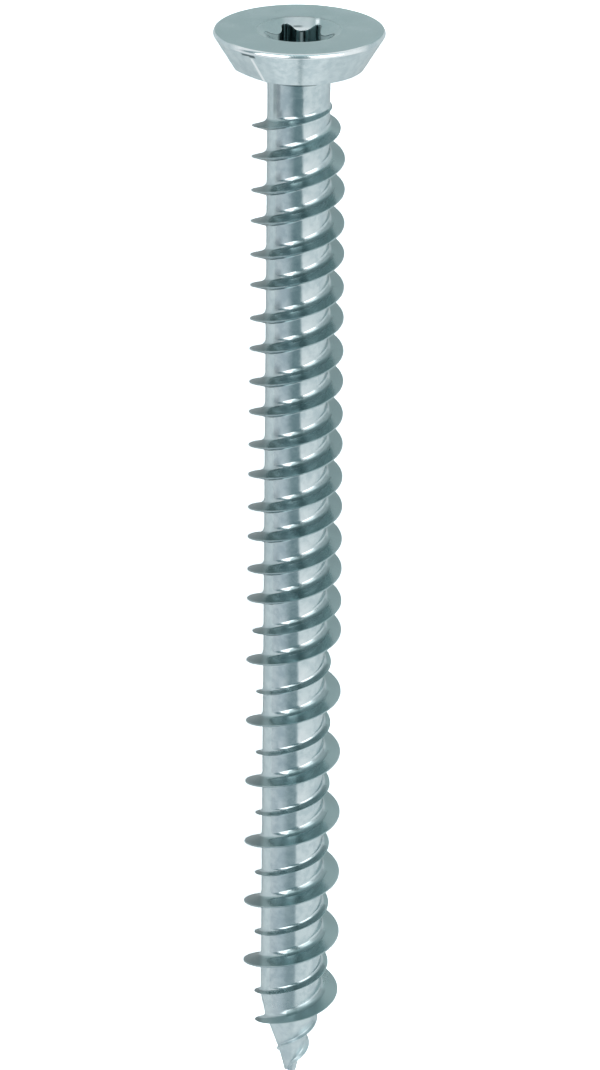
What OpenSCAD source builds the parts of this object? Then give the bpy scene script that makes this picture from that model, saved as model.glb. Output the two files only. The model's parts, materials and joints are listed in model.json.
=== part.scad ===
// Concrete screw with a countersunk six-lobe head and a two-start thread, lying on its side.
// It is drawn along Z, with the head's face at zero and the point at screw_l, then laid down
// on the head's rim and the thread with its point towards +X.
// Angles round the axis start at the side that faces the floor.

/* [Screw] */
// Length from the head's face to the point
screw_l = 92; // [70:1:140]
// Diameter of the core under the threads
core_d = 5.05; // [4.4:0.05:5.6]

/* [Head] */
// Diameter of the head's face
head_d = 13.8; // [12.4:0.1:15]
// Height of the narrow land round the face
rim_h = 0.35; // [0.35:0.05:0.6]
// Radius on the face's edge
rim_round = 0.3; // [0.05:0.01:0.3]
// Diameter at the small end of the countersunk seat
seat_d = 10.5; // [9.4:0.1:11]
// Height of the countersunk seat
seat_h = 2.7; // [2.2:0.1:4]
// Height of the shallow cone under the seat
under_h = 0.7; // [0.4:0.1:1.2]
// Length of the smooth neck below the head
neck_l = 1.25; // [0.2:0.05:3]
// How far the neck stands out from the core
neck_step = 0.03; // [0.02:0.01:0.2]

/* [Drive recess] */
// Size across opposite lobes
drive_d = 5.6; // [5:0.05:6.2]
// Size across opposite flutes
drive_flute_d = 3.95; // [3.6:0.05:4.2]
// Radius at the end of a lobe
lobe_r = 0.45; // [0.35:0.05:0.6]
// Depth of the recess at its walls
drive_depth = 2.7; // [1.8:0.1:2.8]
// Diameter of the cone in the recess's floor
drive_cone_d = 3.4; // [2.4:0.1:3.6]
// Depth of the cone in the recess's floor
drive_cone_h = 0.3; // [0.2:0.1:0.4]
// Diameter of the shallow cone that leads into the recess
lead_in_d = 7; // [6.2:0.1:8]
// Depth at which that cone meets the flutes
lead_in_h = 0.75; // [0.4:0.05:1.2]
// Turn of the recess about the axis
drive_turn = 35; // [0:1:59]

/* [Milling pockets] */
// Number of pockets round the seat
pocket_count = 2; // [2:1:4]
// Depth of a pocket's floor at the seat's small end
pocket_depth = 0.45; // [0.3:0.05:0.8]
// Distance from a pocket's middle to its cutting edge
pocket_edge = 1.5; // [1:0.1:2.2]
// Angle by which a pocket's floor is steeper than the seat
pocket_slope = 2; // [0:0.5:4]
// Height of seat left whole above a pocket
pocket_land = 0.2; // [0.1:0.05:0.8]
// Turn of the pockets about the axis
pocket_turn = 229; // [0:1:359]

/* [Threads] */
// Advance of each thread in one turn
lead = 5.47; // [4.8:0.01:6.4]
// Diameter of the high thread next to the head
high_d_head = 7.5; // [7:0.05:7.8]
// Diameter of the high thread next to the point
high_d_point = 8.05; // [7:0.05:8.6]
// Diameter of the other thread where it is low
low_d = 6.2; // [5.8:0.05:6.8]
// Length, up from the point, on which the other thread is low
low_l = 40.5; // [20:0.5:60]
// Length over which the other thread drops
low_drop = 4.5; // [2:0.5:8]
// Place along the axis where a high crest faces the floor
crest_at = 6.6; // [3:0.1:9]
// Distance from a high crest back to the other thread's crest
start_gap = 2.6; // [2.2:0.02:3]
// Width of a crest's flat
crest_w = 0.1; // [0.06:0.02:0.3]
// Angle between a thread's flanks
flank_angle = 35; // [20:1:40]
// Length over which the threads rise below the neck
run_in = 3; // [2.6:0.1:6]
// How much later the high thread starts
start_delay = 0.9; // [0:0.1:2]
// How far the first stretch of a thread is pushed back from its helix
start_push = 1.2; // [0:0.1:1.2]

/* [Point] */
// Length of the tapered point
point_l = 6.5; // [5:0.5:9]
// Diameter of the blunt end
point_d = 0.6; // [0.4:0.1:1.2]
// Length over which the threads fade towards the point
run_out = 8; // [5:0.5:12]

/* [Hidden] */
$fn = 96;
zinc = [0.74, 0.78, 0.81];
head_r = head_d / 2;
neck_r = core_d / 2 + neck_step;
seat_end = rim_h + seat_h;
under_end = seat_end + under_h;
neck_end = under_end + neck_l;
core_from = under_end - under_h / 2;
point_from = screw_l - point_l;
low_from = screw_l - low_l;
// Cutters reach this far past the surface that they open
clear = 0.2;
// Chords in one turn of the thread, and in one arc of the drive's outline
turn_steps = 28;
arc_steps = 6;
rim_arc_step = 15;

function clamp(v, low, high) = min(max(v, low), high);
function share(v, from, to) = clamp((v - from) / (to - from), 0, 1);
function blend(from, to, t) = from + (to - from) * t;

// Outline of the drive: lobe arcs and flute arcs that meet without a corner
lobe_c = drive_d / 2 - lobe_r;
lobe_in = drive_flute_d / 2 - lobe_r;
flute_c = (lobe_c * lobe_c - lobe_in * lobe_in) / (2 * (lobe_c * cos(30) - lobe_in));
flute_r = flute_c - drive_flute_d / 2;

// Radius of the core, and height of each thread above it, at a place along the axis
function core_r(s) = blend(core_d, point_d, share(s, point_from, screw_l)) / 2;
function fade(s, from) = share(s, from, from + run_in) * pow(share(s, screw_l, screw_l - run_out), 0.7);
function high_d(s) = blend(high_d_head, high_d_point, share(s, neck_end, point_from));
function high_h(s) = (high_d(s) - core_d) / 2 * fade(s, neck_end + start_delay);
function other_d(s) = blend(high_d(s), low_d, share(s, low_from - low_drop / 2, low_from + low_drop / 2));
function other_h(s) = (other_d(s) - core_d) / 2 * fade(s, neck_end);

// One ridge cut along the axis: places along it, each with its height above the core
function root_half(h) = crest_w / 2 + h * tan(flank_angle / 2);
function ridge(s, h) = [
    [s - root_half(h), 0], [s - crest_w / 2, h], [s + crest_w / 2, h], [s + root_half(h), 0]
];
// Where a thread starts, its crest leaves the helix and levels out
function pushed(s, from) = s + start_push * pow(1 - share(s, from, from + run_in), 2);
function both_ridges(s) = let (other_s = s - start_gap) concat(
    ridge(pushed(other_s, neck_end), other_h(other_s)),
    ridge(pushed(s, neck_end + start_delay), high_h(s))
);

// The turns start above the core's upper end and stop below the point, where they are cut off
root_max = root_half((max(high_d_head, high_d_point) - core_d) / 2);
first_turn = floor((core_from - crest_at - root_max) / lead) - 1;
last_turn = ceil((screw_l + start_gap + root_max - crest_at) / lead) + 1;
knots_per_turn = len(both_ridges(0));
knots_per_line = knots_per_turn * (last_turn - first_turn + 1);
function knots(angle) = [
    for (turn = [first_turn : last_turn]) each both_ridges(crest_at + lead * (turn + angle / 360))
];
function on_surface(angle, knot) = let (
    s = clamp(knot[0], core_from, screw_l),
    r = core_r(s) + knot[1]
) [r * cos(angle), r * sin(angle), s];
thread_points = [
    for (i = [0 : turn_steps - 1])
        let (angle = 360 * i / turn_steps)
            for (knot = knots(angle)) on_surface(angle, knot)
];

// The line after the last is the first again, one turn further along
function corner(i, k) = i < turn_steps ? i * knots_per_line + k : k + knots_per_turn;
last_knot = knots_per_line - knots_per_turn - 1;
thread_faces = [
    [for (i = [0 : turn_steps - 1]) corner(i, 0)],
    for (i = [0 : turn_steps - 1]) for (k = [0 : last_knot - 1]) each [
        [corner(i, k), corner(i, k + 1), corner(i + 1, k + 1)],
        [corner(i, k), corner(i + 1, k + 1), corner(i + 1, k)]
    ],
    [for (i = [turn_steps : -1 : 1]) corner(i, last_knot)]
];

// Lying down: the axis tips until a crest meets the floor that the rim's lower edge lies on
tilt = atan(min([for (p = thread_points) if (p[2] > neck_end) (head_r - p[0]) / (p[2] - rim_h)]));
lift = head_r * cos(tilt) + rim_h * sin(tilt);
head_x = -(head_r - rim_round) * sin(tilt);
point_x = screw_l * cos(tilt) + point_d / 2 * sin(tilt);

module drive_outline() {
    meet = acos((pow(flute_r + lobe_r, 2) + lobe_c * lobe_c - flute_c * flute_c)
        / (2 * (flute_r + lobe_r) * lobe_c));
    lobe_sweep = 180 - meet;
    flute_sweep = lobe_sweep - 30;
    polygon([
        for (lobe = [0 : 60 : 300]) each concat(
            [for (i = [0 : arc_steps]) let (a = lobe + lobe_sweep * (2 * i / arc_steps - 1))
                lobe_c * [cos(lobe), sin(lobe)] + lobe_r * [cos(a), sin(a)]],
            [for (i = [1 : arc_steps - 1])
                let (a = lobe + 210 + flute_sweep * (1 - 2 * i / arc_steps))
                    flute_c * [cos(lobe + 30), sin(lobe + 30)] + flute_r * [cos(a), sin(a)]]
        )
    ]);
}

module drive_recess() {
    rotate(drive_turn)
        translate([0, 0, -clear]) linear_extrude(drive_depth + clear) drive_outline();
    lead_in_slope = (lead_in_d - drive_flute_d) / 2 / lead_in_h;
    rotate_extrude() polygon([
        [0, -clear],
        [lead_in_d / 2 + clear * lead_in_slope, -clear],
        [drive_flute_d / 2 - clear * lead_in_slope, lead_in_h + clear],
        [0, lead_in_h + clear]
    ]);
    rotate_extrude() polygon([
        [0, drive_depth - clear],
        [drive_cone_d / 2, drive_depth - clear],
        [drive_cone_d / 2, drive_depth],
        [0, drive_depth + drive_cone_h]
    ]);
}

module milling_pocket() {
    floor_angle = atan((head_d - seat_d) / 2 / seat_h) + pocket_slope;
    run = (seat_h - pocket_land) / cos(floor_angle);
    translate([seat_d / 2 - pocket_depth, 0, seat_end])
        rotate([0, -floor_angle, 0])
            translate([0, -pocket_edge, -run]) cube([head_r, head_d, run + under_h]);
}

module head() {
    difference() {
        rotate_extrude() polygon([
            [0, 0],
            for (t = [0 : rim_arc_step : 90])
                [head_r - rim_round * (1 - sin(t)), rim_round * (1 - cos(t))],
            [head_r, rim_h],
            [seat_d / 2, seat_end],
            [neck_r, under_end],
            [neck_r, neck_end],
            [0, neck_end]
        ]);
        drive_recess();
        for (i = [0 : pocket_count - 1]) rotate(pocket_turn + i * 360 / pocket_count) milling_pocket();
    }
}

// The core and both threads are one skin that runs up into the head
module threaded_shank() {
    polyhedron(thread_points, thread_faces, convexity = 10);
}

module concrete_screw() {
    color(zinc)
        translate([-(head_x + point_x) / 2, 0, lift])
            rotate([0, 90 + tilt, 0]) {
                head();
                threaded_shank();
            }
}

concrete_screw();
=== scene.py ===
import json
import math

import bpy
import numpy as np
from mathutils import Matrix, Vector


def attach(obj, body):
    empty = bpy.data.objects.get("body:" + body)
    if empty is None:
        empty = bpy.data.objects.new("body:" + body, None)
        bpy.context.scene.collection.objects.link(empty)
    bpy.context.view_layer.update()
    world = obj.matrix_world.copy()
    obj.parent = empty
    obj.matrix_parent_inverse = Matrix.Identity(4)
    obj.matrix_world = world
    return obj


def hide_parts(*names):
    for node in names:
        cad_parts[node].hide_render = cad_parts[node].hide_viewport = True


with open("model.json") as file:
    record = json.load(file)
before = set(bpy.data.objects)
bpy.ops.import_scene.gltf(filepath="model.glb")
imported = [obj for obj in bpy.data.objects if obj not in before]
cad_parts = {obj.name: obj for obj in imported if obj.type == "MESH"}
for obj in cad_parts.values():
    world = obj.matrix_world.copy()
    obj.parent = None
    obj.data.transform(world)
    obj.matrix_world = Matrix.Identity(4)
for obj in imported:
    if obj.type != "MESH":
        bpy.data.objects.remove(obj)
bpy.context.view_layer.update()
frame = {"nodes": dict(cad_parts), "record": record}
print("frame loaded with", ", ".join(frame["nodes"]))

# the screw is modelled in millimetres along Z, face at zero and point at the length, then laid in the frame
mounts = {mount["name"]: mount for mount in frame["record"]["mounts"]}
facePoint = Vector(mounts["drive_recess"]["pos_m"])
alongScrew = Vector(mounts["threaded_shank"]["axis"]).normalized()
acrossScrew = Vector((0, 1, 0))
towardsFloor = acrossScrew.cross(alongScrew)
millimetre = 0.001
layScrew = Matrix((towardsFloor, acrossScrew, alongScrew)).transposed().to_4x4()
layScrew = Matrix.Translation(facePoint) @ layScrew @ Matrix.Scale(millimetre, 4)


def deselectAll():
    bpy.ops.object.select_all(action="DESELECT")


def work(piece, mode="OBJECT"):
    deselectAll()
    piece.select_set(True)
    bpy.context.view_layer.objects.active = piece
    bpy.ops.object.mode_set(mode=mode)


def applyModifier(piece, kind, **settings):
    work(piece)
    bpy.ops.object.modifier_add(type=kind)
    modifier = piece.modifiers[-1]
    for name, value in settings.items():
        setattr(modifier, name, value)
    bpy.ops.object.modifier_apply(modifier=modifier.name)


def booleanWith(piece, other, operation):
    applyModifier(piece, "BOOLEAN", object=other, operation=operation, solver="EXACT")
    bpy.data.objects.remove(other)


def share(value, start, end):
    return np.clip((value - start) / (end - start), 0, 1)


def blend(start, end, part):
    return start + (end - start) * part


screw = {
    "length": 92.0,
    "coreD": 5.05,
    "pointLength": 6.5,
    "pointD": 0.6,
    "smoothAngle": math.radians(40),
    "normalWeight": 50,
}

head = {
    "faceD": 13.8,
    "rimHeight": 0.35,
    "rimRound": 0.3,
    "rimStepDegrees": 15,
    "seatD": 10.5,
    "seatHeight": 2.7,
    "underHeight": 0.7,
    "neckLength": 1.25,
    "neckStep": 0.01,
    "sides": 192,
    "edgeBevel": 0.04,
    "bevelSegments": 2,
    "bevelAngle": math.radians(38),
}

seatEnd = head["rimHeight"] + head["seatHeight"]
underEnd = seatEnd + head["underHeight"]
neckEnd = underEnd + head["neckLength"]
neckR = screw["coreD"] / 2 + head["neckStep"]
coreFrom = underEnd - head["underHeight"] / 2
pointFrom = screw["length"] - screw["pointLength"]

thread = {
    "lead": 5.47,
    "highAtHead": 7.5,
    "highAtPoint": 8.05,
    "lowD": 6.2,
    "lowLength": 40.5,
    "lowDrop": 4.5,
    "crestAt": 6.6,
    "startGap": 2.6,
    "crestWidth": 0.1,
    "crestBevel": 0.04,
    "flankHalf": math.radians(17.5),
    "headRound": 0.6,
    "pointRound": 0.2,
    "sweptHeight": 1.4,
    "runIn": 3.0,
    "startDelay": 0.9,
    "startPush": 1.2,
    "runOut": 8.0,
    "runOutCurve": 0.7,
    "turnsAbove": 2,
    "stepsPerTurn": 72,
    "arcSteps": 7,
    "mergeDistance": 0.0005,
}


# heights of the two threads above the core, at places along the axis
def coreRadius(s):
    return blend(screw["coreD"], screw["pointD"], share(s, pointFrom, screw["length"])) / 2


def fade(s, start):
    rising = share(s, start, start + thread["runIn"])
    falling = share(s, screw["length"], screw["length"] - thread["runOut"])
    return rising * falling ** thread["runOutCurve"]


def highDiameter(s):
    return blend(thread["highAtHead"], thread["highAtPoint"], share(s, neckEnd, pointFrom))


def highHeight(s):
    return (highDiameter(s) - screw["coreD"]) / 2 * fade(s, neckEnd + thread["startDelay"])


def otherHeight(s):
    drop = screw["length"] - thread["lowLength"]
    half = thread["lowDrop"] / 2
    diameter = blend(highDiameter(s), thread["lowD"], share(s, drop - half, drop + half))
    return (diameter - screw["coreD"]) / 2 * fade(s, neckEnd)


# where a thread starts, its crest leaves the helix and levels out
def pushed(s, start):
    return thread["startPush"] * (1 - share(s, start, start + thread["runIn"])) ** 2


def rootHalf(height):
    return thread["crestWidth"] / 2 + height * math.tan(thread["flankHalf"])


# one side of a ridge from its root round to its crest: place from the crest, height above the core
def ridgeSide(radius):
    height = thread["sweptHeight"]
    bevel = thread["crestBevel"]
    sweep = math.pi / 2 - thread["flankHalf"]
    arcCentre = -rootHalf(height) - radius * math.tan(sweep / 2)
    points = []
    for i in range(thread["arcSteps"] + 1):
        turn = -math.pi / 2 + sweep * i / thread["arcSteps"]
        points.append((arcCentre + radius * math.cos(turn), radius + radius * math.sin(turn)))
    crestHalf = thread["crestWidth"] / 2
    points.append((-crestHalf - bevel * math.tan(thread["flankHalf"]), height - bevel))
    points.append((-crestHalf + bevel / 2, height))
    return points


# both ridges over one lead: radius, place along the axis
def sweptProfile():
    ridge = ridgeSide(thread["headRound"])
    ridge += [(-place, height) for place, height in reversed(ridgeSide(thread["pointRound"]))]
    points = []
    for crest in (thread["crestAt"] - thread["startGap"], thread["crestAt"]):
        points += [(screw["coreD"] / 2 + height, crest + place) for place, height in ridge]
    firstR, firstZ = points[0]
    points.append((firstR, firstZ + thread["lead"]))
    return points


def makeShank():
    above = thread["turnsAbove"] * thread["lead"]
    points = [Vector((r, 0, z - above)) for r, z in sweptProfile()]
    deselectAll()
    bpy.ops.mesh.primitive_plane_add(size=1)
    shank = bpy.context.object
    shank.name = "shank"
    work(shank, "EDIT")
    bpy.ops.mesh.merge(type="CENTER")
    bpy.ops.transform.translate(value=points[0])
    for here, there in zip(points, points[1:]):
        bpy.ops.mesh.extrude_region_move(TRANSFORM_OT_translate={"value": there - here})
    bpy.ops.object.mode_set(mode="OBJECT")
    turns = math.ceil((screw["length"] - points[0].z) / thread["lead"]) + 1
    applyModifier(
        shank,
        "SCREW",
        axis="Z",
        angle=math.tau,
        screw_offset=thread["lead"],
        iterations=turns,
        steps=thread["stepsPerTurn"],
        render_steps=thread["stepsPerTurn"],
    )
    fadeRidges(shank.data)
    work(shank, "EDIT")
    bpy.ops.mesh.select_all(action="SELECT")
    bpy.ops.mesh.remove_doubles(threshold=thread["mergeDistance"])
    for place, isUpperEnd in ((coreFrom, True), (screw["length"], False)):
        bpy.ops.mesh.select_all(action="SELECT")
        bpy.ops.mesh.bisect(
            plane_co=(0, 0, place),
            plane_no=(0, 0, 1),
            use_fill=True,
            clear_inner=isUpperEnd,
            clear_outer=not isUpperEnd,
        )
    bpy.ops.mesh.select_all(action="SELECT")
    bpy.ops.mesh.normals_make_consistent(inside=False)
    bpy.ops.object.mode_set(mode="OBJECT")
    return shank


# gives each ridge its own height and width, from the swept one, and tapers the core to the point
def fadeRidges(mesh):
    places = np.zeros(len(mesh.vertices) * 3)
    mesh.vertices.foreach_get("co", places)
    x, y, z = places.reshape(-1, 3).T
    angle = np.arctan2(y, x) % math.tau
    height = np.hypot(x, y) - screw["coreD"] / 2
    crestLine = thread["crestAt"] + thread["lead"] * angle / math.tau
    newZ = z.copy()
    newHeight = height.copy()
    reach = rootHalf(thread["sweptHeight"]) + thread["headRound"]
    starts = (
        (0, highHeight, neckEnd + thread["startDelay"]),
        (thread["startGap"], otherHeight, neckEnd),
    )
    for gap, heightAt, rise in starts:
        fromCrest = z + gap - crestLine
        fromCrest -= thread["lead"] * np.round(fromCrest / thread["lead"])
        crest = z - fromCrest
        wanted = heightAt(crest)
        mine = np.abs(fromCrest) < reach
        narrower = rootHalf(wanted) / rootHalf(thread["sweptHeight"])
        newZ = np.where(mine, crest + pushed(crest, rise) + fromCrest * narrower, newZ)
        newHeight = np.where(mine, height * wanted / thread["sweptHeight"], newHeight)
    radius = coreRadius(newZ) + newHeight
    places = np.stack((radius * np.cos(angle), radius * np.sin(angle), newZ), 1)
    mesh.vertices.foreach_set("co", places.ravel())
    mesh.update()


drive = {
    "lobesD": 5.6,
    "flutesD": 3.95,
    "lobeR": 0.45,
    "depth": 2.7,
    "coneD": 3.4,
    "coneHeight": 0.3,
    "leadInD": 7.0,
    "leadInHeight": 0.75,
    "turn": math.radians(35),
}
leadInSlope = drive["leadInHeight"] / ((drive["leadInD"] - drive["flutesD"]) / 2)


# radius of the six-lobe outline at an angle: lobe arcs and flute arcs that meet without a corner
def driveOutline(angle):
    lobeCentre = drive["lobesD"] / 2 - drive["lobeR"]
    lobeInset = drive["flutesD"] / 2 - drive["lobeR"]
    sixth = math.pi / 6
    fluteCentre = (lobeCentre**2 - lobeInset**2) / (2 * (lobeCentre * math.cos(sixth) - lobeInset))
    fluteR = fluteCentre - drive["flutesD"] / 2
    fromLobe = abs((angle - drive["turn"] + sixth) % (2 * sixth) - sixth)
    between = fluteR + drive["lobeR"]
    meetX = lobeCentre + (fluteCentre * math.cos(sixth) - lobeCentre) * drive["lobeR"] / between
    meetY = fluteCentre * math.sin(sixth) * drive["lobeR"] / between
    if fromLobe < math.atan2(meetY, meetX):
        aside = lobeCentre * math.sin(fromLobe)
        return lobeCentre * math.cos(fromLobe) + math.sqrt(drive["lobeR"]**2 - aside**2)
    aside = fluteCentre * math.sin(sixth - fromLobe)
    return fluteCentre * math.cos(sixth - fromLobe) - math.sqrt(fluteR**2 - aside**2)


# depth at which the shallow cone that leads into the recess meets that outline
def leadInDepth(angle):
    return (drive["leadInD"] / 2 - driveOutline(angle)) * leadInSlope


# extrudes the selected ring and sets it to a radius and a height, each a number or a function of the angle
def nextRing(piece, radiusAt, heightAt):
    bpy.ops.mesh.extrude_region_move()
    bpy.ops.object.mode_set(mode="OBJECT")
    for vertex in piece.data.vertices:
        if vertex.select:
            angle = math.atan2(vertex.co.y, vertex.co.x)
            radius = radiusAt(angle) if callable(radiusAt) else radiusAt
            height = heightAt(angle) if callable(heightAt) else heightAt
            vertex.co = (radius * math.cos(angle), radius * math.sin(angle), height)
    bpy.ops.object.mode_set(mode="EDIT")


def makeHead():
    faceR = head["faceD"] / 2 - head["rimRound"]
    deselectAll()
    bpy.ops.mesh.primitive_circle_add(vertices=head["sides"], radius=faceR, fill_type="NOTHING")
    piece = bpy.context.object
    work(piece, "EDIT")
    bpy.ops.mesh.select_all(action="SELECT")
    step = head["rimStepDegrees"]
    for degrees in range(step, 90 + step, step):
        turn = math.radians(degrees)
        nextRing(piece, faceR + head["rimRound"] * math.sin(turn), head["rimRound"] * (1 - math.cos(turn)))
    nextRing(piece, head["faceD"] / 2, head["rimHeight"])
    nextRing(piece, head["seatD"] / 2, seatEnd)
    nextRing(piece, neckR, underEnd)
    nextRing(piece, neckR, neckEnd)
    bpy.ops.mesh.edge_face_add()

    # back to the ring on the face, and from there into the recess
    nearFace = 1e-6
    bpy.ops.mesh.select_all(action="DESELECT")
    bpy.ops.object.mode_set(mode="OBJECT")
    for vertex in piece.data.vertices:
        vertex.select = vertex.co.z < nearFace
    work(piece, "EDIT")
    nextRing(piece, drive["leadInD"] / 2, 0)
    nextRing(piece, driveOutline, leadInDepth)
    nextRing(piece, driveOutline, drive["depth"])
    nextRing(piece, drive["coneD"] / 2, drive["depth"])
    nextRing(piece, drive["coneD"] / 4, drive["depth"] + drive["coneHeight"] / 2)
    bpy.ops.mesh.extrude_region_move(TRANSFORM_OT_translate={"value": (0, 0, drive["coneHeight"] / 2)})
    bpy.ops.mesh.merge(type="CENTER")
    bpy.ops.mesh.select_all(action="SELECT")
    bpy.ops.mesh.normals_make_consistent(inside=False)
    bpy.ops.object.mode_set(mode="OBJECT")
    for i in range(pockets["count"]):
        booleanWith(piece, pocketCutter(pockets["turn"] + math.tau * i / pockets["count"]), "DIFFERENCE")
    applyModifier(
        piece,
        "BEVEL",
        width=head["edgeBevel"],
        segments=head["bevelSegments"],
        limit_method="ANGLE",
        angle_limit=head["bevelAngle"],
        use_clamp_overlap=True,
    )
    return piece


pockets = {
    "count": 2,
    "depth": 0.45,
    "edge": 1.5,
    "slope": math.radians(2),
    "land": 0.2,
    "turn": math.radians(229),
}


# a block whose floor lies under the seat and whose one side is the cutting edge
def pocketCutter(turn):
    floorAngle = math.atan((head["faceD"] - head["seatD"]) / 2 / head["seatHeight"]) + pockets["slope"]
    run = (head["seatHeight"] - pockets["land"]) / math.cos(floorAngle)
    reach = head["faceD"] / 2
    size = Vector((reach, head["faceD"], run + head["underHeight"]))
    low = Vector((0, -pockets["edge"], -run))
    deselectAll()
    bpy.ops.mesh.primitive_cube_add(size=1)
    cutter = bpy.context.object
    cutter.matrix_world = (
        Matrix.Rotation(turn, 4, "Z")
        @ Matrix.Translation((head["seatD"] / 2 - pockets["depth"], 0, seatEnd))
        @ Matrix.Rotation(-floorAngle, 4, "Y")
        @ Matrix.Translation(low + size / 2)
        @ Matrix.Diagonal(size).to_4x4()
    )
    return cutter


def makeScrew():
    piece = makeHead()
    print("head:", len(piece.data.vertices), "points")
    shank = makeShank()
    print("shank:", len(shank.data.vertices), "points")
    booleanWith(piece, shank, "UNION")
    piece.name = "zincScrew"
    piece.data.name = "zincScrew"
    work(piece)
    bpy.ops.object.shade_smooth_by_angle(angle=screw["smoothAngle"])
    applyModifier(piece, "WEIGHTED_NORMAL", weight=screw["normalWeight"], keep_sharp=True)
    piece.matrix_world = layScrew
    bpy.ops.object.transform_apply(location=True, rotation=True, scale=True)
    return piece


# shader maths on sockets
class Wire:
    def __init__(self, tree, socket=None):
        self.tree = tree
        self.socket = socket

    def node(self, kind, settings=None, values=None, out=0):
        made = self.tree.nodes.new(kind)
        for name, value in (settings or {}).items():
            setattr(made, name, value)
        for name, value in (values or {}).items():
            if isinstance(value, Wire):
                self.tree.links.new(value.socket, made.inputs[name])
            else:
                made.inputs[name].default_value = value
        return Wire(self.tree, made.outputs[out]) if made.outputs else made

    def maths(self, operation, first, second=0.0):
        return self.node("ShaderNodeMath", {"operation": operation}, {0: first, 1: second})

    def __add__(self, other):
        return self.maths("ADD", self, other)

    __radd__ = __add__

    def __sub__(self, other):
        return self.maths("SUBTRACT", self, other)

    def __rsub__(self, other):
        return self.maths("SUBTRACT", other, self)

    def __mul__(self, other):
        return self.maths("MULTIPLY", self, other)

    __rmul__ = __mul__

    def __truediv__(self, other):
        return self.maths("DIVIDE", self, other)

    def __abs__(self):
        return self.maths("ABSOLUTE", self)

    def most(self, other):
        return self.maths("MAXIMUM", self, other)

    # from 0 at start to 1 at end, which may be the lower of the two
    def ease(self, start, end):
        settings = {"interpolation_type": "SMOOTHSTEP"}
        return self.node("ShaderNodeMapRange", settings, {0: self, 1: start, 2: end})

    def part(self, axis):
        return self.node("ShaderNodeSeparateXYZ", None, {0: self}, out="XYZ".index(axis))

    def mix(self, first, second):
        return self.node("ShaderNodeMix", {"data_type": "RGBA"}, {0: self, 6: first, 7: second}, out=2)


def startMaterial(name):
    material = bpy.data.materials.new(name)
    material.use_nodes = True
    material.node_tree.nodes.clear()
    return material, Wire(material.node_tree)


# noises are a scale per millimetre and a detail, blends are shares of places and noises
zinc = {
    "bright": (0.64, 0.72, 0.74, 1),
    "cool": (0.52, 0.61, 0.64, 1),
    # the flank colours are painted shade, lighter low on the right and darker on the left
    "flank": (0.355, 0.465, 0.475, 1),
    "flankRight": (0.40, 0.52, 0.53, 1),
    "flankLeft": (0.215, 0.28, 0.285, 1),
    # the face colours are darkened as painted shade, with a random paler part
    "face": (0.345, 0.46, 0.47, 1),
    "facePale": (0.43, 0.54, 0.55, 1),
    # a painted highlight
    "paintedHighlight": (0.93, 0.95, 0.96, 1),
    # painted shade
    "paintedShade": (0.22, 0.30, 0.31, 1),
    # painted shade on the rounds at the roots
    "round": (0.29, 0.37, 0.385, 1),
    # painted shade and dark painted reflections, and a dark mark
    "paintedDark": (0.12, 0.16, 0.17, 1),
    # a pale painted sheen
    "paleSheen": (0.60, 0.72, 0.73, 1),
    "roughness": 0.17,
    "faceRoughness": 0.34,
    "flankRougher": 0.06,
    "roundRougher": 0.12,
    "grainRougher": 0.12,
    "grainMiddle": 0.5,
    "grainBump": 0.000006,
    "bumpStrength": 0.5,
    "noises": {"cloud": (0.35, 3.0), "grain": (5.0, 4.0), "spangle": (1.6, 3.0)},
    "blends": {
        "tint": {"cloud": 0.4, "spangle": 0.6},
        "mottle": {"cloud": 0.6, "grain": 0.4, "x": 0.012},
    },
    "coolFrom": (0.38, 0.64),
    "litFluteAt": 0.17,
}


# where a point is on the screw, in millimetres, and the noise there
def screwPlaces(desk):
    place, turn, _ = layScrew.inverted().decompose()
    onScrew = desk.node(
        "ShaderNodeMapping",
        {"vector_type": "POINT"},
        {
            "Vector": desk.node("ShaderNodeTexCoord", out=3),
            "Location": place,
            "Rotation": turn.to_euler(),
            "Scale": (1 / millimetre,) * 3,
        },
    )
    x, y, along = (onScrew.part(axis) for axis in "XYZ")
    radius = desk.maths("SQRT", x * x + y * y)
    at = {"x": x, "y": y, "along": along, "radius": radius, "aside": abs(y)}

    # above the core, below the neck, from the high crest, and the share of half a lead up to the next crest
    at["height"] = radius - screw["coreD"] / 2
    at["fromNeck"] = along - neckEnd
    widening = (thread["highAtPoint"] - thread["highAtHead"]) / 2 / (pointFrom - neckEnd)
    at["fromCrest"] = radius - (thread["highAtHead"] / 2 + at["fromNeck"] * widening)
    angle = desk.maths("ARCTAN2", y, x)
    toCrest = (thread["crestAt"] - along) / (thread["lead"] / 2) + angle / math.pi
    at["toCrest"] = desk.maths("FRACT", toCrest)

    # below the recess's lead-in cone, from the flute that faces the light, and from a cutting edge
    at["belowCone"] = along - (drive["leadInD"] / 2 - radius) * leadInSlope
    at["fromFlute"] = abs(y - zinc["litFluteAt"])
    cosine, sine = math.cos(pockets["turn"]), math.sin(pockets["turn"])
    at["outwards"] = x * cosine + y * sine
    sideways = (y * cosine - x * sine) * desk.maths("SIGN", at["outwards"])
    at["fromEdge"] = sideways + pockets["edge"]

    for name, (scale, detail) in zinc["noises"].items():
        values = {"Vector": onScrew, "Scale": scale, "Detail": detail}
        at[name] = desk.node("ShaderNodeTexNoise", None, values)
    for name, shares in zinc["blends"].items():
        at[name] = sum(part * at[source] for source, part in shares.items())
    return at


# a patch is its strength and its edges: a place, where the patch ends and where it is full
def patches(at, paint):
    masks = {}
    for name, (strength, *edges) in paint.items():
        eased = [at[place].ease(ends, full) for place, ends, full in edges]
        mask = math.prod(eased[1:], start=eased[0])
        masks[name] = mask if strength == 1 else mask * strength
    return masks


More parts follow.
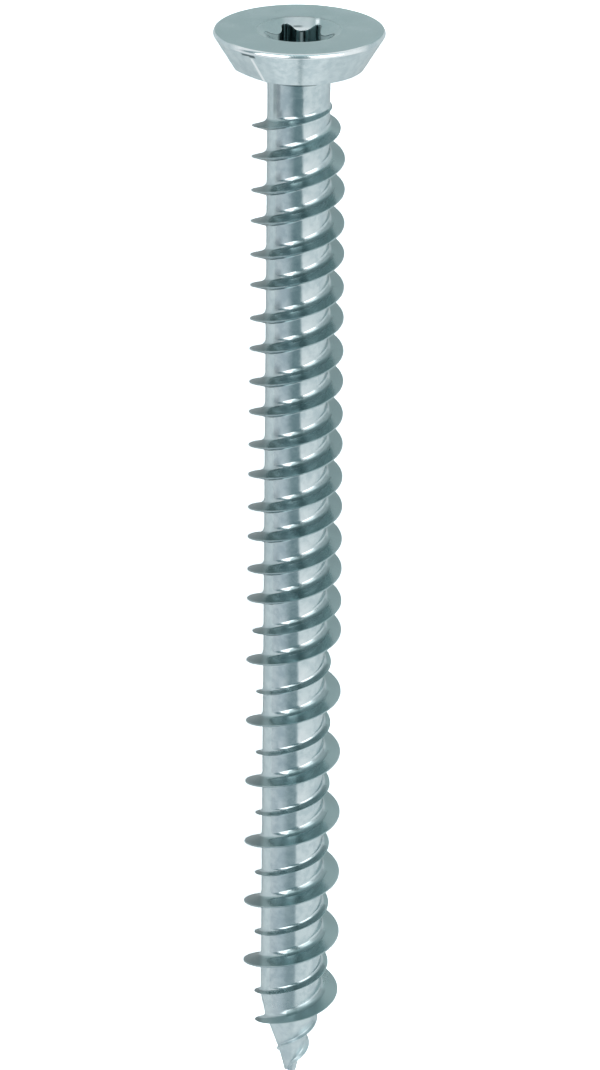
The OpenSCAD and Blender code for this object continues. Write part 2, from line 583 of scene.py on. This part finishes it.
shankPaint = {
    "front": (1, ("x", -0.2, -0.8)),
    "core": (1, ("height", 0.4, 0.25), ("fromNeck", 0.6, 1.4)),
    "rightShine": (0.6, ("y", 0.38, 0.5), ("y", 2.0, 0.5), ("toCrest", 0.75, 0.22), ("along", 78, 60)),
    "leftShine": (0.35, ("y", -1.3, -1.1), ("y", -0.2, -0.6), ("toCrest", 0.5, 0.2), ("along", 78, 60)),
    "flank": (1, ("flankHeight", 0.12, 0.26), ("fromNeck", 0, 0.4)),
    "crest": (0.5, ("fromCrest", -0.1, -0.04)),
    "left": (1, ("y", -2.225, -2.725)),
    "lowRight": (1, ("along", 35, 60), ("y", 2.1, 2.8)),
    "round": (1, ("height", 0.02, 0.07), ("height", 0.5, 0.4), ("along", 8, 14)),
    "midRound": (1, ("y", -0.5, -0.2), ("y", 0.8, 0.5)),
    "rightRound": (1, ("y", 0.5, 0.8)),
    "spot": (
        0.5, ("y", -2.05, -1.6), ("y", -1.15, -1.5), ("toCrest", 0.55, 0.25), ("toCrest", 0.08, 0.2),
        ("along", 52, 30),
    ),
    "underSeat": (
        0.7, ("along", 3.82, 3.9), ("along", 4.08, 3.98), ("height", 0.2, 0.1), ("y", -2.4, -2.1),
        ("y", 1.6, 1.3),
    ),
    "neckShadeLine": (
        0.5, ("along", 3.7, 3.8), ("along", 7.4, 6.2), ("height", 0.12, 0.05), ("y", -2.1, -1.95),
        ("y", -1.35, -1.6), ("x", -0.2, -0.8),
    ),
    "pointDull": (0.2, ("along", 82, 88)),
}
startPaint = {"low": (0.1, ("along", 9, 8))}
roundShade = {"mid": 0.9, "right": 0.85}


def paintShank(at, colour):
    at["flankHeight"] = at["height"] + patches(at, startPaint)["low"]
    masks = patches(at, shankPaint)

    # the core shines just before each crest
    onCore = masks["core"] * masks["front"]
    shine = (masks["rightShine"] + masks["leftShine"]) * onCore
    colour = shine.mix(colour, zinc["paintedHighlight"])

    # the flanks are dull, and painted shade darkens them between the bright core and the bright crests,
    # less low on the right and more on the left
    onFlank = masks["flank"] * (1 - masks["crest"])
    flank = masks["lowRight"].mix(zinc["flank"], zinc["flankRight"])
    colour = onFlank.mix(colour, masks["left"].mix(flank, zinc["flankLeft"]))

    # below the first turn painted shade and more roughness dull the glints on the rounds at the roots, but
    # for a spot at the left
    onRound = masks["round"] * masks["front"]
    midRound = onRound * masks["midRound"]
    rightRound = onRound * masks["rightRound"]
    colour = (midRound * roundShade["mid"]).mix(colour, zinc["paintedShade"])
    colour = (rightRound * roundShade["right"]).mix(colour, zinc["round"])

    # painted shade under the seat, and painted dark reflections in a line down the neck and in spots before
    # the upper crests
    shaded = masks["underSeat"].most(masks["neckShadeLine"]).most(masks["spot"] * onCore)
    colour = shaded.mix(colour, zinc["paintedDark"])
    rougher = onFlank * zinc["flankRougher"] + masks["pointDull"]
    return colour, rougher + (midRound + rightRound) * zinc["roundRougher"]


headPaint = {
    "face": (1, ("along", 0.08, 0.02)),
    "palePart": (1, ("mottle", 0.4, 0.68)),
    "rim": (1, ("radius", 6.64, 6.7), ("along", 0.4, 0.36), ("aside", 5.8, 4.6)),
    "seat": (1, ("along", 0.7, 0.9), ("along", 3.1, 3.05), ("radius", 4.2, 4.4)),
    "cutEdge": (1, ("fromEdge", -0.28, -0.23), ("fromEdge", 0.03, -0.02)),
    "notch": (
        1, ("fromEdge", -0.65, -0.5), ("fromEdge", 0.8, 0.6), ("along", 0.42, 0.5), ("along", 0.76, 0.66),
        ("outwards", -0.2, 0.2),
    ),
    "cone": (1, ("radius", 3.52, 3.48), ("belowCone", 0.03, 0)),
    "coneSides": (1, ("aside", 0.6, 1.6)),
    "coneEnd": (0.6, ("radius", 2.5, 2.2)),
    "coneMark": (
        0.75, ("radius", 2.26, 2.36), ("radius", 2.56, 2.46), ("y", -0.7, -0.3), ("y", 0.4, 0),
        ("x", 0.5, 1),
    ),
    "mouth": (1, ("radius", 3.1, 2.9), ("along", 3.3, 3.1)),
    "wall": (1, ("belowCone", 0.03, 0.2)),
    "litFlute": (1, ("fromFlute", 0.22, 0.02), ("x", 0.5, 1)),
    "sideLobes": (0.85, ("belowCone", 0.03, 0.1), ("aside", 1.5, 1.8)),
    "coneGlint": (1, ("y", 1.15, 1.4), ("y", 1.75, 1.5), ("x", 2.1, 2.6), ("x", 3.3, 2.8)),
}
recessPaint = {"farCone": 0.25, "fluteLit": 0.7, "fluteSheen": 0.55}


def paintHead(at, colour):
    masks = patches(at, headPaint)

    # the face is dull and darkened as painted shade, with a random paler mottle, and painted highlights
    # lighten the rim round it at the front and the cutting edges
    faceColour = masks["palePart"].mix(zinc["face"], zinc["facePale"])
    colour = masks["face"].most(masks["cone"] * masks["coneSides"]).mix(colour, faceColour)
    colour = masks["rim"].most(masks["seat"] * masks["cutEdge"]).mix(colour, zinc["paintedHighlight"])

    # painted shade darkens the recess below its lead-in cone, less on the crest of the flute that faces the
    # light
    inRecess = masks["wall"] * masks["mouth"]
    colour = (inRecess * (1 - recessPaint["fluteLit"] * masks["litFlute"])).mix(colour, zinc["paintedShade"])
    # a painted highlight lightens the far side of the lead-in cone, most towards its inner end
    farCone = masks["cone"] * (1 - masks["coneSides"])
    colour = (farCone * (recessPaint["farCone"] + masks["coneEnd"])).mix(colour, zinc["paintedHighlight"])

    # a dark mark on that cone, and painted shade in the notches
    colour = (farCone * masks["coneMark"]).mix(colour, zinc["paintedDark"])
    colour = masks["notch"].mix(colour, zinc["paintedDark"])

    # that flute and the lobes at the sides get a pale, less metallic painted sheen, and the far lobe's edge
    # a painted highlight
    coneGlint = masks["coneGlint"] * masks["cone"]
    flute = inRecess * masks["litFlute"] * recessPaint["fluteSheen"]
    paintedSheen = (masks["sideLobes"] * masks["mouth"]).most(flute).most(coneGlint)
    colour = paintedSheen.mix(colour, coneGlint.mix(zinc["paleSheen"], zinc["paintedHighlight"]))
    return colour, masks["face"], paintedSheen


def makeZinc():
    material, desk = startMaterial("bright zinc plate")
    at = screwPlaces(desk)
    colour = at["tint"].ease(*zinc["coolFrom"]).mix(zinc["bright"], zinc["cool"])
    colour, rougher = paintShank(at, colour)
    colour, onFace, paintedSheen = paintHead(at, colour)
    rough = zinc["roughness"] + onFace * (zinc["faceRoughness"] - zinc["roughness"]) + rougher
    rough = rough + (at["grain"] - zinc["grainMiddle"]) * zinc["grainRougher"]
    bump = desk.node(
        "ShaderNodeBump",
        None,
        {"Strength": zinc["bumpStrength"], "Distance": zinc["grainBump"], "Height": at["grain"]},
    )
    shader = desk.node(
        "ShaderNodeBsdfPrincipled",
        None,
        {"Base Color": colour, "Metallic": 1 - paintedSheen, "Roughness": rough, "Normal": bump},
    )
    desk.node("ShaderNodeOutputMaterial", None, {"Surface": shader})
    return material


concreteScrew = makeScrew()
concreteScrew.data.materials.clear()
concreteScrew.data.materials.append(makeZinc())
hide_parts("concrete_screw")
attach(concreteScrew, "root")
print("screw made:", len(concreteScrew.data.polygons), "faces")

# how pale the floor is to light, to mirrors and to the camera
floorSize = {"width": 6.0, "pale": 0.8, "mirrored": 0.82, "seen": 2.2}


def makeFloor():
    deselectAll()
    bpy.ops.mesh.primitive_plane_add(size=floorSize["width"])
    floor = bpy.context.object
    floor.name = "paleFloor"
    material, desk = startMaterial("pale floor")
    seen = desk.node("ShaderNodeLightPath")
    rays = seen.socket.node.outputs
    glossy = Wire(desk.tree, rays["Is Glossy Ray"])
    through = Wire(desk.tree, rays["Is Transmission Ray"])
    mirrored = glossy.most(through)
    pale = floorSize["pale"] + mirrored * (floorSize["mirrored"] - floorSize["pale"])
    pale = pale + seen * (floorSize["seen"] - floorSize["pale"])
    colour = desk.node("ShaderNodeCombineColor", None, {0: pale, 1: pale, 2: pale})
    shader = desk.node("ShaderNodeBsdfDiffuse", None, {"Color": colour})
    desk.node("ShaderNodeOutputMaterial", None, {"Surface": shader})
    floor.data.materials.append(material)


makeFloor()

# two pale panels along the screw with a dim gap between them, a lamp on each side of the gap over the
# head, a dim room behind it and a pale wall with a slit beyond the point
studio = {
    "gap": (0.18, 0.27, 0.29, 1),
    "gapLow": (0.42, 0.50, 0.53, 1),
    "left": (0.56, 0.63, 0.67, 1),
    "leftLow": (0.66, 0.70, 0.73, 1),
    "right": (0.82, 0.87, 0.88, 1),
    "lamp": (2.2, 2.25, 2.25, 1),
    "room": (0.42, 0.60, 0.63, 1),
    "wall": (0.93, 0.97, 0.98, 1),
    "slitDark": 0.8,
    # angles round the screw from straight up
    "rightEdge": (math.radians(14), math.radians(18)),
    "leftEdge": (math.radians(8), math.radians(45)),
    "leftFoot": (math.radians(45), math.radians(85)),
    "lampFrom": (math.radians(12), math.radians(18)),
    "lampTo": (math.radians(54), math.radians(62)),
    "dimTo": (math.radians(78), math.radians(84)),
    # parts of a direction towards the point, towards the head and across
    "gapLowFrom": (0.39, 0.46),
    "wallFrom": (0.78, 0.9),
    "lampsFrom": (-0.05, 0.1),
    "roomFrom": (0.74, 0.8),
    "slitLeft": (-0.015, 0.005),
    "slitRight": (0.06, 0.04),
}


def makeStudio():
    world = bpy.data.worlds.new("studio")
    world.use_nodes = True
    world.node_tree.nodes.clear()
    bpy.context.scene.world = world
    desk = Wire(world.node_tree)
    direction = desk.node("ShaderNodeTexCoord")
    x, y, z = (direction.part(axis) for axis in "XYZ")
    towardsHead = 0 - x
    toRight = desk.maths("ARCTAN2", y, z)
    toLeft = 0 - toRight
    onRight = toRight.ease(*studio["rightEdge"])
    onLeft = toLeft.ease(*studio["leftEdge"])
    left = toLeft.ease(*studio["leftFoot"]).mix(studio["left"], studio["leftLow"])
    gap = x.ease(*studio["gapLowFrom"]).mix(studio["gap"], studio["gapLow"])
    colour = onRight.mix(onLeft.mix(gap, left), studio["right"])

    overHead = towardsHead.ease(*studio["lampsFrom"])
    lampRight = onRight * (1 - toRight.ease(*studio["lampTo"]))
    lampLeft = toLeft.ease(*studio["lampFrom"]) * (1 - toLeft.ease(*studio["lampTo"]))
    dim = toLeft.ease(*studio["lampTo"]) * (1 - toLeft.ease(*studio["dimTo"]))
    colour = (overHead * dim).mix(colour, studio["gap"])
    colour = (overHead * (lampRight + lampLeft)).mix(colour, studio["lamp"])
    colour = towardsHead.ease(*studio["roomFrom"]).mix(colour, studio["room"])

    slit = y.ease(*studio["slitLeft"]) * y.ease(*studio["slitRight"])
    wall = (slit * studio["slitDark"]).mix(studio["wall"], studio["gap"])
    colour = x.ease(*studio["wallFrom"]).mix(colour, wall)
    light = desk.node("ShaderNodeBackground", None, {"Color": colour, "Strength": 1.0})
    desk.node("ShaderNodeOutputWorld", None, {"Surface": light})


makeStudio()
print("floor and studio made")

# the camera looks down on the screw from the head's side, with the head at the top of the picture
view = {
    "aimAlong": 43.37,
    "aimAcross": 0.43,
    "distance": 549.0,
    "lean": math.radians(21.6),
    "roll": math.radians(0.545),
    "lens": 150.06,
    "sensorHeight": 24.0,
    "clipStart": 0.01,
}


def makeCamera():
    data = bpy.data.cameras.new("camera")
    camera = bpy.data.objects.new("camera", data)
    bpy.context.scene.collection.objects.link(camera)
    bpy.context.scene.camera = camera
    data.sensor_fit = "VERTICAL"
    data.sensor_height = view["sensorHeight"]
    data.lens = view["lens"]
    data.clip_start = view["clipStart"]
    aim = layScrew @ Vector((0, view["aimAcross"], view["aimAlong"]))
    up = -towardsFloor
    forward = (alongScrew * math.sin(view["lean"]) - up * math.cos(view["lean"])).normalized()
    right = acrossScrew
    above = right.cross(forward)
    turnedRight = right * math.cos(view["roll"]) + above * math.sin(view["roll"])
    turnedAbove = above * math.cos(view["roll"]) - right * math.sin(view["roll"])
    place = Matrix.Translation(aim - forward * view["distance"] * millimetre)
    camera.matrix_world = place @ Matrix((turnedRight, turnedAbove, -forward)).transposed().to_4x4()


makeCamera()
bpy.context.scene.view_settings.view_transform = "Standard"
print("camera made")
